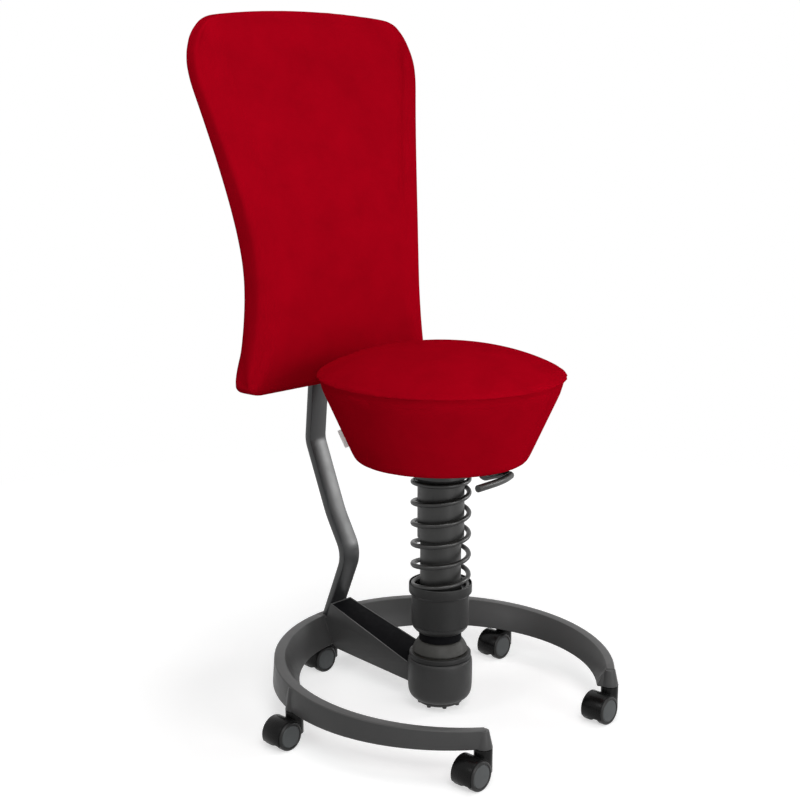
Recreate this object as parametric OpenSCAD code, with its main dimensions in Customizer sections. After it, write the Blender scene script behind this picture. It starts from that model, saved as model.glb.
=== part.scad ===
// Balance stool with backrest: an open castor ring, a sprung column that sways
// on a rubber joint, a conical seat with a gas lift and a tall padded backrest.
// Origin on the floor under the column axis, +Z up, the sitter faces -Y.

/* [Base ring] */
// Radius of the ring's outer edge on top
ring_r = 300; // [270:1:330]
// How far the ring's centre lies in front of the column axis
ring_forward = 9.4; // [0:0.2:20]
// Height of the ring's underside above the floor
ring_clear = 59; // [58:1:72]
// Height of the ring's wall at the back
ring_back_h = 50; // [40:1:60]
// Height of the ring's wall at its front ends
ring_front_h = 31; // [27:1:38]
// Width of the ring's top face at the back
ring_top_w = 20; // [16:0.5:24]
// Width of the ring's top face at the front ends
ring_tip_w = 15; // [12:0.5:20]
// Width of the ring's underside at the back
ring_foot_w = 47; // [42:0.5:52]
// Width of the ring's underside at the front ends
ring_foot_tip_w = 33; // [31:0.5:40]
// How far the outer wall leans out from top to bottom
ring_batter = 3; // [0:0.5:6]
// Half of the front opening, as an angle at the ring's centre
ring_open = 35.5; // [30:0.5:40]
// Bevel along the ring's edges
ring_bevel = 1.6; // [0.8:0.1:3]
// Half of the rear section between the two ring seams, as an angle
seam_half = 5.6; // [5.2:0.1:8]

/* [Castors] */
// Diameter of a castor wheel
wheel_d = 50; // [44:1:52]
// Width of a castor wheel
wheel_w = 13.6; // [11:0.2:15]
// Gap between the two wheels of a castor
wheel_gap = 19; // [16:0.5:22]
// Distance from the stem axis back to the axle
castor_trail = 29; // [26:0.5:32]
// How far the castor stems stand inside the ring's top edge
stem_inset = 8; // [6:0.5:12]
// Diameter of the castor stem
stem_d = 11; // [10:0.5:12]
// Depth of the stem in its socket
stem_depth = 22; // [18:0.5:23]
// Diameter of the castor axle
axle_d = 8; // [6:0.5:9]
// Radius of the boss that holds a castor socket
boss_r = 17; // [16:0.5:19]

/* [Rear arm and bar] */
// Width of the arm at the ring
arm_rear_w = 50; // [44:1:56]
// Width of the arm at the column housing
arm_front_w = 76; // [66:1:84]
// Height of the arm's top edge at the ring
arm_rear_z = 137; // [125:1:145]
// Height of the arm's top edge at the housing
arm_front_z = 80; // [74:1:88]
// Height of the arm's underside
arm_low_z = 48; // [44:1:51]
// Wall of the arm beside its top cover
arm_wall = 2.6; // [2:0.1:4]
// Thickness of the arm's top cover
cover_t = 2.2; // [1.5:0.1:3]
// Width of the backrest bar
bar_w = 42; // [36:1:48]
// Thickness of the backrest bar
bar_t = 14; // [12:0.5:15]
// Height of the backrest bar's top end
bar_top_z = 815; // [800:1:860]

/* [Backrest] */
// Height of the backrest's lower edge
back_low_z = 562; // [558:1:580]
// Height of the backrest's upper edge
back_top_z = 1214; // [1150:1:1250]
// Half width of the backrest at its waist
waist_half_w = 201.5; // [180:0.5:215]
// Height of the waist
waist_z = 755; // [740:1:780]
// How fast the sides spread above the waist
flare_up = 0.28; // [0.15:0.005:0.3]
// How fast the sides spread below the waist
flare_down = 0.33; // [0.2:0.01:0.36]
// Distance of the backrest's waist behind the column axis
back_y = 250.5; // [249:0.5:254]
// Lean of the backrest above its waist
back_lean = 0.232; // [0.15:0.001:0.26]
// Lean of the backrest below its waist
low_lean = 0.11; // [0.05:0.01:0.12]
// Thickness of the back pad at its waist
back_t = 50; // [42:1:51]
// Thickness of the back pad near its upper edge
back_top_t = 31; // [26:1:40]
// Corner radius at the top of the backrest
top_corner_r = 120; // [80:1:130]
// Corner radius at the bottom of the backrest
low_corner_r = 35; // [25:1:45]
// Thickness of the back shell behind the pad
back_shell_t = 6; // [4:0.5:8]

/* [Column] */
// Height of the sway pivot above the floor
pivot_z = 96; // [94:0.5:98]
// Radius of the rubber dome
dome_r = 51.3; // [49:0.1:51.6]
// Clearance round the dome
dome_gap = 0.4; // [0.3:0.05:0.6]
// Radius of the neck between dome and cup
neck_r = 37.5; // [37:0.1:38.5]
// Radius of the lower column tube
tube_r = 36; // [34:0.1:36.2]
// Wall of the lower column tube
tube_wall = 3.5; // [2.5:0.1:4]
// Travel of the spring when it is fully pressed
bounce_travel = 60; // [40:1:60]
// Radius of the upper sliding tube
sleeve_r = 41; // [40.6:0.1:42]
// Height of the upper sliding tube's lower end
sleeve_low_z = 317; // [305:1:325]
// Radius of the cup's body
cup_r = 50.8; // [49:0.1:52]
// Radius of the cup's lip
cup_lip_r = 55.6; // [55.2:0.1:57]
// Height of the cup's lower end
cup_low_z = 145; // [144:0.5:147]
// Height of the cup's rim
cup_top_z = 234; // [232:0.5:238]
// Radius of the upper spring flange
flange_r = 50.5; // [50:0.1:53]
// Height of the upper spring flange's underside
flange_z = 428; // [425:0.5:432]
// Thickness of the upper spring flange
flange_t = 12; // [9:0.5:12]

/* [Spring] */
// Diameter of the spring wire
wire_d = 8.8; // [7:0.1:9]
// Mean radius of the coil spring
coil_r = 48.9; // [47.5:0.1:49]
// Number of turns of the coil spring
coil_turns = 6.8; // [5.8:0.05:7.2]

/* [Gas lift] */
// Diameter of the lift's piston tube
lift_d = 28; // [24:0.5:30]
// Diameter of the lift's outer cylinder
cylinder_d = 48; // [44:1:50]
// Length of the lift's outer cylinder
cylinder_len = 202; // [198:1:210]
// Height of the seat hub's lower end
hub_z = 561; // [561:0.5:563]

/* [Seat] */
// Radius of the seat's lower edge
seat_low_r = 147; // [142:0.5:150]
// Radius of the seat's rim
seat_rim_r = 210.5; // [205:0.5:212]
// Height of the seat's lower edge
seat_low_z = 460; // [458:0.5:466]
// Height of the seam under the seat's rim
seat_seam_z = 600; // [598:0.5:601]
// Height of the seat's crown
seat_top_z = 656; // [645:0.5:664]
// Thickness of the foam skirt, measured level
skirt_t = 12; // [9:0.5:12]
// Wall of the inner seat shell, measured level
shell_t = 3.3; // [2.5:0.1:4]
// Thickness of the seat board
board_t = 9.5; // [8:0.1:9.7]
// Diameter of the release lever's rod
lever_d = 12.5; // [9:0.5:13]

/* [Hidden] */
$fn = 96;
eps = 0.01;
run_gap = 0.05;   // radial running clearance of pins and slides
seat_gap = 0.3;   // clearance between seated or passing pieces
press_gap = 0.05; // clearance of pieces fixed in one body

frame_grey = [0.27, 0.27, 0.27];
dark_grey = [0.17, 0.17, 0.17];
black = [0.09, 0.09, 0.09];
steel = [0.72, 0.72, 0.72];
red = [0.6, 0.02, 0.07];

// General helpers

// Side faces of a tube made of rings of n points each
function side_faces(rings, n) = [for (i = [0:rings - 2], j = [0:n - 1])
    let (a = i * n + j, b = i * n + (j + 1) % n, c = a + n, d = b + n)
    each [[a, c, b], [b, c, d]]];
// A fan of triangles that closes the first or last ring
function fan(first, n, turn) = [for (j = [1:n - 2])
    turn ? [first, first + j, first + j + 1] : [first, first + j + 1, first + j]];

// A closed tube through rings of n points
module skin(points, rings, n) {
    polyhedron(points = points, convexity = 8,
        faces = concat(side_faces(rings, n), fan(0, n, true),
                       fan((rings - 1) * n, n, false)));
}

// Corner of a flat path rounded with an arc of radius r, as a list of points
function unit(v) = v / norm(v);
function arc_corner(a, p, b, r, steps) =
    let (u = unit(a - p), w = unit(b - p), half = acos(u * w) / 2,
         along = r / tan(half), centre = p + unit(u + w) * r / sin(half),
         from = p + u * along - centre, to = p + w * along - centre,
         span = acos(unit(from) * unit(to)))
    [for (k = [0:steps])
        let (t = k / steps)
        centre + (sin((1 - t) * span) * from + sin(t * span) * to) / sin(span)];

// Bolt circle positions
module around(count, r, start = 0) {
    for (i = [0:count - 1]) rotate([0, 0, start + i * 360 / count]) translate([r, 0, 0]) children();
}

// Base ring

ring_cy = -ring_forward;
function ring_y(a) = ring_cy + ring_r * cos(a);
// The top face falls in a straight line from the back to the front ends
function ring_top(y) = ring_clear + ring_front_h + (ring_back_h - ring_front_h)
    * (y - ring_y(180 - ring_open)) / (ring_y(0) - ring_y(180 - ring_open));
// Share of the way from the front ends (0) to the broad back (1)
function ring_share(a) = let (t = min(1, (180 - ring_open - abs(a)) / 70)) t * (2 - t);
end_slant = 1.011; // the ends reach a little further at the bottom than on top
function ring_point(r, a, z) = [r * sin(a), ring_cy + r * cos(a), z];
function ring_section(a) =
    let (s = ring_share(a), b = a * end_slant, c = ring_bevel,
         top_w = ring_tip_w + (ring_top_w - ring_tip_w) * s,
         foot_w = ring_foot_tip_w + (ring_foot_w - ring_foot_tip_w) * s,
         zt = ring_top(ring_y(a)), zb = ring_clear,
         ro = ring_r + ring_batter, ri = ring_r + ring_batter - foot_w)
    [ring_point(ro - c, b, zb), ring_point(ro, b, zb + c),
     ring_point(ring_r, a, zt - c), ring_point(ring_r - c, a, zt),
     ring_point(ring_r - top_w + c, a, zt), ring_point(ring_r - top_w, a, zt - c),
     ring_point(ri, b, zb + c), ring_point(ri + c, b, zb)];

module ring_sweep(from, to, steps) {
    skin([for (i = [0:steps]) each ring_section(from + (to - from) * i / steps)],
         steps + 1, 8);
}

castor_r = ring_r - stem_inset;
castor_angles = [0, 72, 144, -144, -72];
function castor_xy(i) = [castor_r * sin(castor_angles[i]),
                         ring_cy + castor_r * cos(castor_angles[i])];
socket_r = stem_d / 2 + 2.5;
socket_h = stem_depth + 1.5;

// Cone that bulges from the wall round a castor socket
module castor_boss(i) {
    p = castor_xy(i);
    top = ring_top(p[1]) - 3;
    translate([p[0], p[1], ring_clear])
        cylinder(h = top - ring_clear, r1 = boss_r - 1.5, r2 = stem_inset + 1.2);
}
module socket_hole(i) {
    p = castor_xy(i);
    translate([p[0], p[1], ring_clear - 1]) cylinder(h = socket_h + 1, r = socket_r);
}

seam_gap = 0.1; // half of the seam beside the rear section, as an angle
module ring_half(side) {
    color(frame_grey) difference() {
        union() {
            ring_sweep(side > 0 ? seam_half + seam_gap : -(180 - ring_open),
                       side > 0 ? 180 - ring_open : -(seam_half + seam_gap), 36);
            for (i = side > 0 ? [1, 2] : [3, 4]) castor_boss(i);
        }
        for (i = side > 0 ? [1, 2] : [3, 4]) socket_hole(i);
    }
}
module ring_left() { ring_half(1); }
module ring_right() { ring_half(-1); }

// Steel sleeves that take the castor stems
module castor_sockets() {
    color(steel) for (i = [0:4]) {
        p = castor_xy(i);
        translate([p[0], p[1], ring_clear]) difference() {
            cylinder(h = socket_h - 0.2, r = socket_r - press_gap);
            translate([0, 0, -1])
                cylinder(h = stem_depth + 1.2, r = stem_d / 2 + run_gap);
        }
    }
}

// Rear arm

housing_r = 57.3;
housing_low_z = 21;
rim_z = pivot_z + 0.5; // top of the housing wall
arm_back_y = ring_y(0) - ring_top_w - 4;
arm_rear_y = 252;
arm_start_y = 30;
fold_rear_z = ring_top(arm_back_y) - 2;
fold_front_z = 87;
arm_taper = 4; // how much narrower each side is at the bottom

// Outer outline of the housing: list of radius and height
housing_wall = [[43, 0], [48.6, 2.4], [52.8, 6.6], [55.4, 12.4], [56.6, 20], [57.1, 31],
                [housing_r, 44], [57.2, 57], [56.8, 66], [55.9, 72]];
module housing_outline(grow) {
    rotate_extrude() polygon(concat([[0, housing_low_z - 5]],
        [[housing_wall[0][0] + grow, housing_low_z - 5]],
        [for (p = housing_wall) [p[0] + grow, p[1] + housing_low_z]],
        [[55.9 + grow, 130], [0, 130]]));
}

// Tapered blank of the arm, drawn in by inset on both sides
module arm_blank(inset) {
    front = arm_front_w / 2 - inset;
    rear = arm_rear_w / 2 - inset;
    top = arm_rear_z + 20;
    hull() {
        translate([0, arm_start_y, 0]) rotate([90, 0, 0]) linear_extrude(eps)
            polygon([[-front + arm_taper, 30], [front - arm_taper, 30],
                     [front, fold_front_z], [front, top], [-front, top],
                     [-front, fold_front_z]]);
        translate([0, arm_back_y + 10, 0]) rotate([90, 0, 0]) linear_extrude(eps)
            polygon([[-rear + arm_taper / 2, 30], [rear - arm_taper / 2, 30],
                     [rear, fold_rear_z], [rear, top], [-rear, top], [-rear, fold_rear_z]]);
    }
}
// Side view of the arm, its top face lowered by drop
module arm_side(drop) {
    rotate([90, 0, 90]) translate([0, 0, -arm_front_w]) linear_extrude(2 * arm_front_w)
        polygon([[arm_start_y, arm_low_z - 3], [arm_rear_y - 16, arm_low_z + 4.5],
                 [arm_rear_y - 4, ring_clear + 0.5], [arm_back_y + 4, ring_clear + 0.5],
                 [arm_back_y + 4, fold_rear_z], [arm_rear_y + 11.5, fold_rear_z],
                 [arm_rear_y, arm_rear_z - drop], [arm_start_y, arm_front_z - 3 - drop]]);
}
module arm_slab(low, high) {
    rotate([90, 0, 90]) translate([0, 0, -arm_front_w]) linear_extrude(2 * arm_front_w)
        polygon([[arm_start_y + 5, arm_front_z - 3 + 1.4 - low],
                 [arm_rear_y - arm_wall, arm_rear_z - 0.7 - low],
                 [arm_rear_y - arm_wall, arm_rear_z - 0.7 - high],
                 [arm_start_y + 5, arm_front_z - 3 + 1.4 - high]]);
}

module support_arm() {
    color(frame_grey) difference() {
        union() {
            ring_sweep(-seam_half, seam_half, 4);
            castor_boss(0);
            intersection() { arm_blank(0); arm_side(0); }
        }
        intersection() { arm_blank(arm_wall); arm_slab(cover_t + 0.4, -10); }
        housing_outline(0.15);
        socket_hole(0);
    }
}

// Dark inlay in the arm's top face
module arm_cover() {
    color(black) difference() {
        intersection() { arm_blank(arm_wall + 0.2); arm_slab(cover_t + 0.35, 0.35); }
        translate([0, arm_rear_y - arm_wall - 0.3, 0]) translate([-50, 0, 0])
            cube([100, 20, 200]);
        housing_outline(0.4);
    }
}

// Sway joint housing

bowl_r = dome_r + dome_gap;
bowl_floor_z = 62;
core_r = 16;
post_r = 15.5;
ring_top_z = pivot_z + 10.5;

module housing() {
    color(frame_grey) difference() {
        rotate_extrude() polygon(concat([[0, housing_low_z]],
            [for (p = housing_wall) [p[0], p[1] + housing_low_z]],
            [[54.4, rim_z - 0.6], [53.4, rim_z], [0, rim_z]]));
        intersection() {
            translate([0, 0, pivot_z]) sphere(r = bowl_r);
            translate([0, 0, bowl_floor_z]) cylinder(h = 60, r = bowl_r + 1);
        }
        translate([0, 0, housing_low_z - 1]) cylinder(h = 60, r = 12 + press_gap);
        around(3, 30, 30) translate([0, 0, housing_low_z - 1]) cylinder(h = 13, r = 2.1);
    }
}

// Ring that keeps the dome in the housing, with a groove below and above it
module retaining_ring() {
    low = rim_z + 0.02;
    color(dark_grey) difference() {
        rotate_extrude() polygon([[dome_r - 6, low], [dome_r + 1.9, low],
            [dome_r + 2.3, low + 1.6], [dome_r + 3.4, low + 2.2], [dome_r + 3.4, ring_top_z - 1.8],
            [dome_r + 2.3, ring_top_z], [dome_r - 6, ring_top_z]]);
        translate([0, 0, pivot_z]) sphere(r = bowl_r);
    }
}

// Post that carries the rubber core in the middle of the bowl
module pivot_post() {
    color(steel) difference() {
        union() {
            translate([0, 0, housing_low_z + 9]) cylinder(h = 40, r = 12);
            translate([0, 0, bowl_floor_z + seat_gap]) cylinder(h = pivot_z - 8 - bowl_floor_z, r = post_r);
        }
        translate([0, 0, pivot_z]) sphere(r = core_r + seat_gap);
    }
}
module rubber_core() {
    color(black) translate([0, 0, pivot_z]) sphere(r = core_r);
}

// Cap under the housing with its six grip lugs
cap_low_z = 12.5;
module base_cap() {
    color(dark_grey) difference() {
        union() {
            rotate_extrude() polygon([[0, cap_low_z], [36, cap_low_z], [41, cap_low_z + 3],
                [42.6, housing_low_z - 1.2], [41.6, housing_low_z - 0.02], [0, housing_low_z - 0.02]]);
            around(8, 36, 10) translate([0, 0, cap_low_z - 1.6]) cylinder(h = 5, r1 = 3.6, r2 = 4.8);
        }
        around(3, 30, 30) translate([0, 0, cap_low_z - 1]) cylinder(h = 20, r = 2.1);
        around(3, 30, 30) translate([0, 0, cap_low_z - 1]) cylinder(h = 3.2, r = 4.3);
    }
}
module cap_screws() {
    color(steel) around(3, 30, 30) translate([0, 0, cap_low_z + 0.2]) difference() {
        union() {
            cylinder(h = 1.95, r = 4);
            translate([0, 0, 1.9]) cylinder(h = 16, r = 2);
        }
        translate([0, 0, -1]) cylinder(h = 2, r = 1.6, $fn = 6);
    }
}

// Backrest bar

bar_foot = [arm_rear_y + 21, ring_top(ring_y(0)) + 0.3];
bar_path = [bar_foot, [221, 236], [262, 308], [315, 440], [304, 562], [304, bar_top_z]];
bar_bend_r = [0, 55, 200, 45, 200];
bar_bend_steps = [0, 7, 3, 5, 2];
bar_line = concat([bar_path[0]],
    [for (i = [1:4]) each arc_corner(bar_path[i - 1], bar_path[i], bar_path[i + 1],
                                     bar_bend_r[i], bar_bend_steps[i])],
    [bar_path[5]]);
bar_edge = 3; // edge radius of the flat bar
// Rounded rectangle of the bar, as offsets across and through
bar_section = [for (c = [[1, 1, 0], [-1, 1, 90], [-1, -1, 180], [1, -1, 270]], k = [0:2])
    [c[0] * (bar_w / 2 - bar_edge) + bar_edge * cos(c[2] + 45 * k),
     c[1] * (bar_t / 2 - bar_edge) + bar_edge * sin(c[2] + 45 * k)]];
function line_dir(path, i) = unit(path[min(i + 1, len(path) - 1)] - path[max(i - 1, 0)]);
bracket_z = 745; // middle of the bracket
bolt_rows = [-28, 28];
bar_front_y = bar_path[5][0] - bar_t / 2;

module back_bar() {
    n = len(bar_section);
    last = len(bar_line) - 1;
    color(frame_grey) difference() {
        skin([for (i = [0:last])
                let (p = bar_line[i], d = i == 0 ? [0, 1] : i == last ? [0, 1] : line_dir(bar_line, i))
                each [for (s = bar_section) [s[0], p[0] + s[1] * d[1], p[1] - s[1] * d[0]]]],
             last + 1, n);
        for (z = bolt_rows) translate([0, 0, bracket_z + z]) rotate([-90, 0, 0])
            cylinder(h = 400, r = bolt_r + press_gap);
    }
}
bolt_r = 4;

// Backrest pad and shell

function spread(d, k, soft) = k * (sqrt(d * d + soft * soft) - soft);
function back_half_w(z) = waist_half_w
    + spread(z - waist_z, z > waist_z ? flare_up : flare_down, 150);
function back_mid_y(z) = back_y
    + spread(z - waist_z + 15, z > waist_z - 15 ? back_lean : low_lean, 120);
// Distance by which a corner of radius r draws the side in, d from its edge
function corner_inset(d, r) = d >= r ? 0 : r - sqrt(r * r - (r - d) * (r - d));
// Half width at height z of an outline drawn in by m all round
function outline_w(z, m) = back_half_w(z) - m
    - corner_inset(max(0, back_top_z - m - z), top_corner_r - m)
    - corner_inset(max(0, z - back_low_z - m), max(4, low_corner_r - m));

back_arch = 9;   // rise of the upper edge's middle over its corners
pad_edge = 13;   // width of the pad's soft edges
// Thickness of the pad at height z: full up to the waist, thinner towards the top
function back_thick(z) = let (t = max(0, min(1, (z - waist_z - 60) / 300)))
    back_t + (back_top_t - back_t) * t * t * (3 - 2 * t);
back_rows = 26;
back_cols = 16;
// Heights of the rows, closer together near both ends
function row_z(i, m) = let (t = i / back_rows)
    back_low_z + m + (back_top_z - back_low_z - 2 * m) * (t - sin(360 * t) / (2 * PI) * 0.86);
// Across position, closer together near the sides
function col_u(j) = sin(90 * (2 * j / back_cols - 1));
function arch_z(u, z) = let (t = (z - back_low_z) / (back_top_z - back_low_z))
    -back_arch * u * u * t * t * t;
// How full the pad is at distance d from its edge
function edge_fill(d) = d >= pad_edge ? 1 : sqrt(1 - pow(1 - d / pad_edge, 2) * 0.62);
function edge_d(u, z, m) = min((1 - abs(u)) * outline_w(z, m),
                               back_top_z - m - z, z - back_low_z - m);

module back_pad() {
    rows = back_rows;
    n = 2 * back_cols + 2;
    points = [for (i = [0:rows])
        let (z = row_z(i, 0), w = outline_w(z, 0), y = back_mid_y(z), half = back_thick(z) / 2 + 1)
        each concat(
            [for (j = [0:back_cols]) let (u = col_u(j), f = edge_fill(max(0, edge_d(u, z, 0))))
                [u * w, y - half * f * (1 - 0.1 * u * u), z + arch_z(u, z)]],
            [for (j = [back_cols:-1:0]) let (u = col_u(j), f = edge_fill(max(0, edge_d(u, z, 0))))
                [u * w, y + half * f, z + arch_z(u, z)]])];
    color(red) skin(points, rows + 1, n);
}

// Front of the back shell at height z, clear of the pad's flat rear
function shell_front(z) = back_mid_y(z) + back_thick(z) / 2 + 1 + seat_gap;
shell_inset = 26;
shell_dish = 1.2; // how far the shell's front bends back at its sides
module back_shell() {
    rows = 14;
    cols = 8;
    n = 2 * cols + 2;
    function z_at(i) = let (t = i / rows) back_low_z + shell_inset
        + (back_top_z - back_low_z - 2 * shell_inset) * (t - sin(360 * t) / (2 * PI) * 0.86);
    points = [for (i = [0:rows])
        let (z = z_at(i), w = outline_w(z, shell_inset), y = shell_front(z))
        each concat(
            [for (j = [0:cols]) let (u = col_u(2 * j))
                [u * w, y + shell_dish * u * u, z + arch_z(u, z)]],
            [for (j = [cols:-1:0]) let (u = col_u(2 * j))
                [u * (w - 1), y + back_shell_t, z + arch_z(u, z)]])];
    color(black) skin(points, rows + 1, n);
}

// Cast bracket between the shell and the bar
bracket_w = 84;
bracket_h = 108;
module back_bracket() {
    shell_back = shell_front(bracket_z) + back_shell_t;
    depth = bar_front_y - shell_back;
    color(frame_grey) difference() {
        intersection() {
            rotate([-90, 0, 0]) translate([0, -bracket_z, shell_back - 20])
                linear_extrude(depth + 20 - 0.1) offset(r = 12) offset(delta = -12)
                square([bracket_w, bracket_h], center = true);
            rotate([90, 0, 90]) translate([0, 0, -bracket_w]) linear_extrude(2 * bracket_w)
                polygon(concat([[bar_front_y, bracket_z - bracket_h]],
                    [for (k = [-1:0.25:1]) let (z = bracket_z + k * bracket_h)
                        [shell_front(z) + back_shell_t + 1.1, z]],
                    [[bar_front_y, bracket_z + bracket_h]]));
        }
        for (z = bolt_rows) translate([0, shell_back - 5, bracket_z + z]) rotate([-90, 0, 0])
            cylinder(h = 60, r = bolt_r + press_gap);
    }
}
module bracket_bolts() {
    tail = bar_path[5][0] + bar_t / 2;
    color(steel) for (z = bolt_rows) translate([0, 0, bracket_z + z]) rotate([-90, 0, 0]) difference() {
        union() {
            start = shell_front(bracket_z + z) + back_shell_t + 2.6;
            translate([0, 0, start]) cylinder(h = tail - start + 1, r = bolt_r);
            translate([0, 0, tail + 0.05]) cylinder(h = 5, r = 7);
        }
        translate([0, 0, tail + 2.2]) cylinder(h = 5, r = 3, $fn = 6);
    }
}

// Column

foot_core_r = 28;
foot_low_z = pivot_z - 3;
dome_low_z = pivot_z - 20;
dome_top_z = pivot_z + sqrt(dome_r * dome_r - pow(neck_r + 1, 2));
foot_top_z = 216;
spigot_h = 8; // depth of the spring flange's spigot in the upper tube
tube_top_z = flange_z - spigot_h - bounce_travel - 4;

// Casting that joins the rubber joint to the column, with the cup's thread sleeve
module strut_foot() {
    color(dark_grey) difference() {
        union() {
            translate([0, 0, foot_low_z]) cylinder(h = dome_top_z - foot_low_z + 1, r = foot_core_r);
            translate([0, 0, dome_top_z + 0.1]) cylinder(h = foot_top_z - dome_top_z - 0.1, r = neck_r);
        }
        translate([0, 0, pivot_z]) sphere(r = core_r + seat_gap);
        translate([0, 0, dome_top_z + 22]) cylinder(h = 200, r = tube_r + press_gap);
    }
}
// Rubber dome that fills the housing's bowl
module sway_dome() {
    color(black) difference() {
        translate([0, 0, pivot_z]) sphere(r = dome_r);
        translate([0, 0, dome_low_z - 60]) cylinder(h = 60, r = dome_r + 1);
        translate([0, 0, dome_top_z]) cylinder(h = 60, r = dome_r + 1);
        translate([0, 0, dome_low_z - 1]) cylinder(h = 100, r = foot_core_r + press_gap);
    }
}
module lower_tube() {
    low = dome_top_z + 22.1;
    color(dark_grey) translate([0, 0, low]) difference() {
        cylinder(h = tube_top_z - low, r = tube_r);
        translate([0, 0, -1]) cylinder(h = tube_top_z - low + 2, r = tube_r - tube_wall);
    }
}

// Cup that sets the spring's preload, turned on the thread sleeve
ledge_z = cup_top_z - 17;
ring_h = 4;
pocket_r = cup_lip_r - 1.7;
module tension_cup() {
    color(dark_grey) rotate_extrude() polygon([
        [neck_r + run_gap, cup_low_z], [40, cup_low_z], [44.5, cup_low_z + 3.5],
        [48.4, cup_low_z + 8], [50.2, cup_low_z + 12], [cup_r, cup_low_z + 17],
        [cup_r, ledge_z - 4.5], [cup_lip_r - 1.6, ledge_z - 1.5], [cup_lip_r, ledge_z + 1],
        [cup_lip_r, cup_top_z - 1.4], [cup_lip_r - 0.8, cup_top_z], [pocket_r + 0.3, cup_top_z],
        [pocket_r, cup_top_z - 1], [pocket_r, ledge_z - 0.3], [neck_r + run_gap, ledge_z - 0.3]]);
}
// Ring on which the spring's lower end turn lies
module thrust_ring() {
    color(steel) rotate_extrude() polygon([
        [neck_r + 0.6, ledge_z], [pocket_r - 0.3, ledge_z],
        [pocket_r - 0.3, ledge_z + ring_h], [neck_r + 0.6, ledge_z + ring_h]]);
}

// Coil spring: one unbroken tube with nearly closed end turns
rings_per_turn = 8;
wire_sides = 6;
coil_low_z = ledge_z + ring_h + wire_d / 2 + 0.2;
coil_high_z = flange_z - wire_d / 2 - 0.3;
dead_turns = 0.86;
dead_pitch = 4.8;
coil_start = -176.3; // angle of the lower end, counted from +X
coil_pitch = (coil_high_z - coil_low_z - 2 * dead_turns * dead_pitch) / (coil_turns - 2 * dead_turns);
function coil_z(t) = coil_low_z + (t < dead_turns ? dead_pitch * t
    : t < coil_turns - dead_turns ? dead_pitch * dead_turns + coil_pitch * (t - dead_turns)
    : coil_high_z - coil_low_z - dead_pitch * (coil_turns - t));
function coil_point(t) = [coil_r * cos(coil_start + 360 * t), coil_r * sin(coil_start + 360 * t), coil_z(t)];
coil_rings = ceil(coil_turns * rings_per_turn);

module coil_spring() {
    points = [for (i = [0:coil_rings])
        let (t = coil_turns * i / coil_rings, a = coil_start + 360 * t, c = coil_point(t))
        each [for (k = [0:wire_sides - 1])
            let (b = 360 * k / wire_sides)
            [c[0] + wire_d / 2 * cos(b) * cos(a), c[1] + wire_d / 2 * cos(b) * sin(a),
             c[2] + wire_d / 2 * sin(b)]]];
    color(dark_grey) skin(points, coil_rings + 1, wire_sides);
}
// Least gap between turns, measured between points one turn apart
coil_gaps = [for (t = [0:0.05:coil_turns - 0.75], s = [0.75:0.05:1.25])
    if (t + s <= coil_turns) norm(coil_point(t + s) - coil_point(t)) - wire_d];
echo(least_coil_gap_mm = min(coil_gaps), coil_pitch_mm = coil_pitch);

// Upper tube and spring flange

bush_r = sleeve_r - 2.5;
module upper_tube() {
    color(dark_grey) translate([0, 0, sleeve_low_z]) difference() {
        cylinder(h = flange_z - sleeve_low_z - 0.1, r = sleeve_r);
        translate([0, 0, -1]) cylinder(h = flange_z - sleeve_low_z + 2, r = bush_r);
    }
}
module sleeve_bush() {
    color(black) translate([0, 0, sleeve_low_z + 0.5]) difference() {
        cylinder(h = 40, r = bush_r - press_gap);
        translate([0, 0, -1]) cylinder(h = 42, r = tube_r + run_gap);
    }
}
module spring_flange() {
    color(dark_grey) difference() {
        rotate_extrude() polygon([
            [0, flange_z - spigot_h], [bush_r - press_gap, flange_z - spigot_h],
            [bush_r - press_gap, flange_z], [flange_r, flange_z],
            [flange_r, flange_z + flange_t - 1.5], [flange_r - 1.5, flange_z + flange_t],
            [0, flange_z + flange_t]]);
        translate([0, 0, flange_z - spigot_h - 1])
            cylinder(h = flange_t + spigot_h + 2, r = cylinder_d / 2 + press_gap);
    }
}

// Gas lift

lift_top_z = flange_z + flange_t;
cylinder_wall = 3;
cylinder_low_z = lift_top_z - cylinder_len;
bush_len = 44;
module gas_cylinder() {
    color(steel) difference() {
        translate([0, 0, cylinder_low_z]) cylinder(h = cylinder_len, r = cylinder_d / 2);
        translate([0, 0, cylinder_low_z + 5])
            cylinder(h = cylinder_len, r = cylinder_d / 2 - cylinder_wall);
    }
}
module lift_bush() {
    color(black) translate([0, 0, lift_top_z - bush_len]) difference() {
        cylinder(h = bush_len, r = cylinder_d / 2 - cylinder_wall - press_gap);
        translate([0, 0, -1]) cylinder(h = bush_len + 2, r = lift_d / 2 + run_gap);
    }
}
rod_top_z = hub_z + 14.5;
piston_h = 12;
module lift_rod() {
    low = lift_top_z - bush_len - 4 - piston_h;
    color(steel) difference() {
        union() {
            translate([0, 0, low]) cylinder(h = rod_top_z - low, r = lift_d / 2);
            translate([0, 0, low]) cylinder(h = piston_h, r = cylinder_d / 2 - cylinder_wall - 0.4);
        }
        translate([0, 0, rod_top_z - 20]) cylinder(h = 30, r = 4 + run_gap);
    }
}
pin_z = hub_z + 19;
button_top_z = pin_z + 1.7;
module valve_button() {
    color(steel) translate([0, 0, rod_top_z - 16])
        cylinder(h = button_top_z - rod_top_z + 16, r = 4);
}

// Seat mechanism

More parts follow.
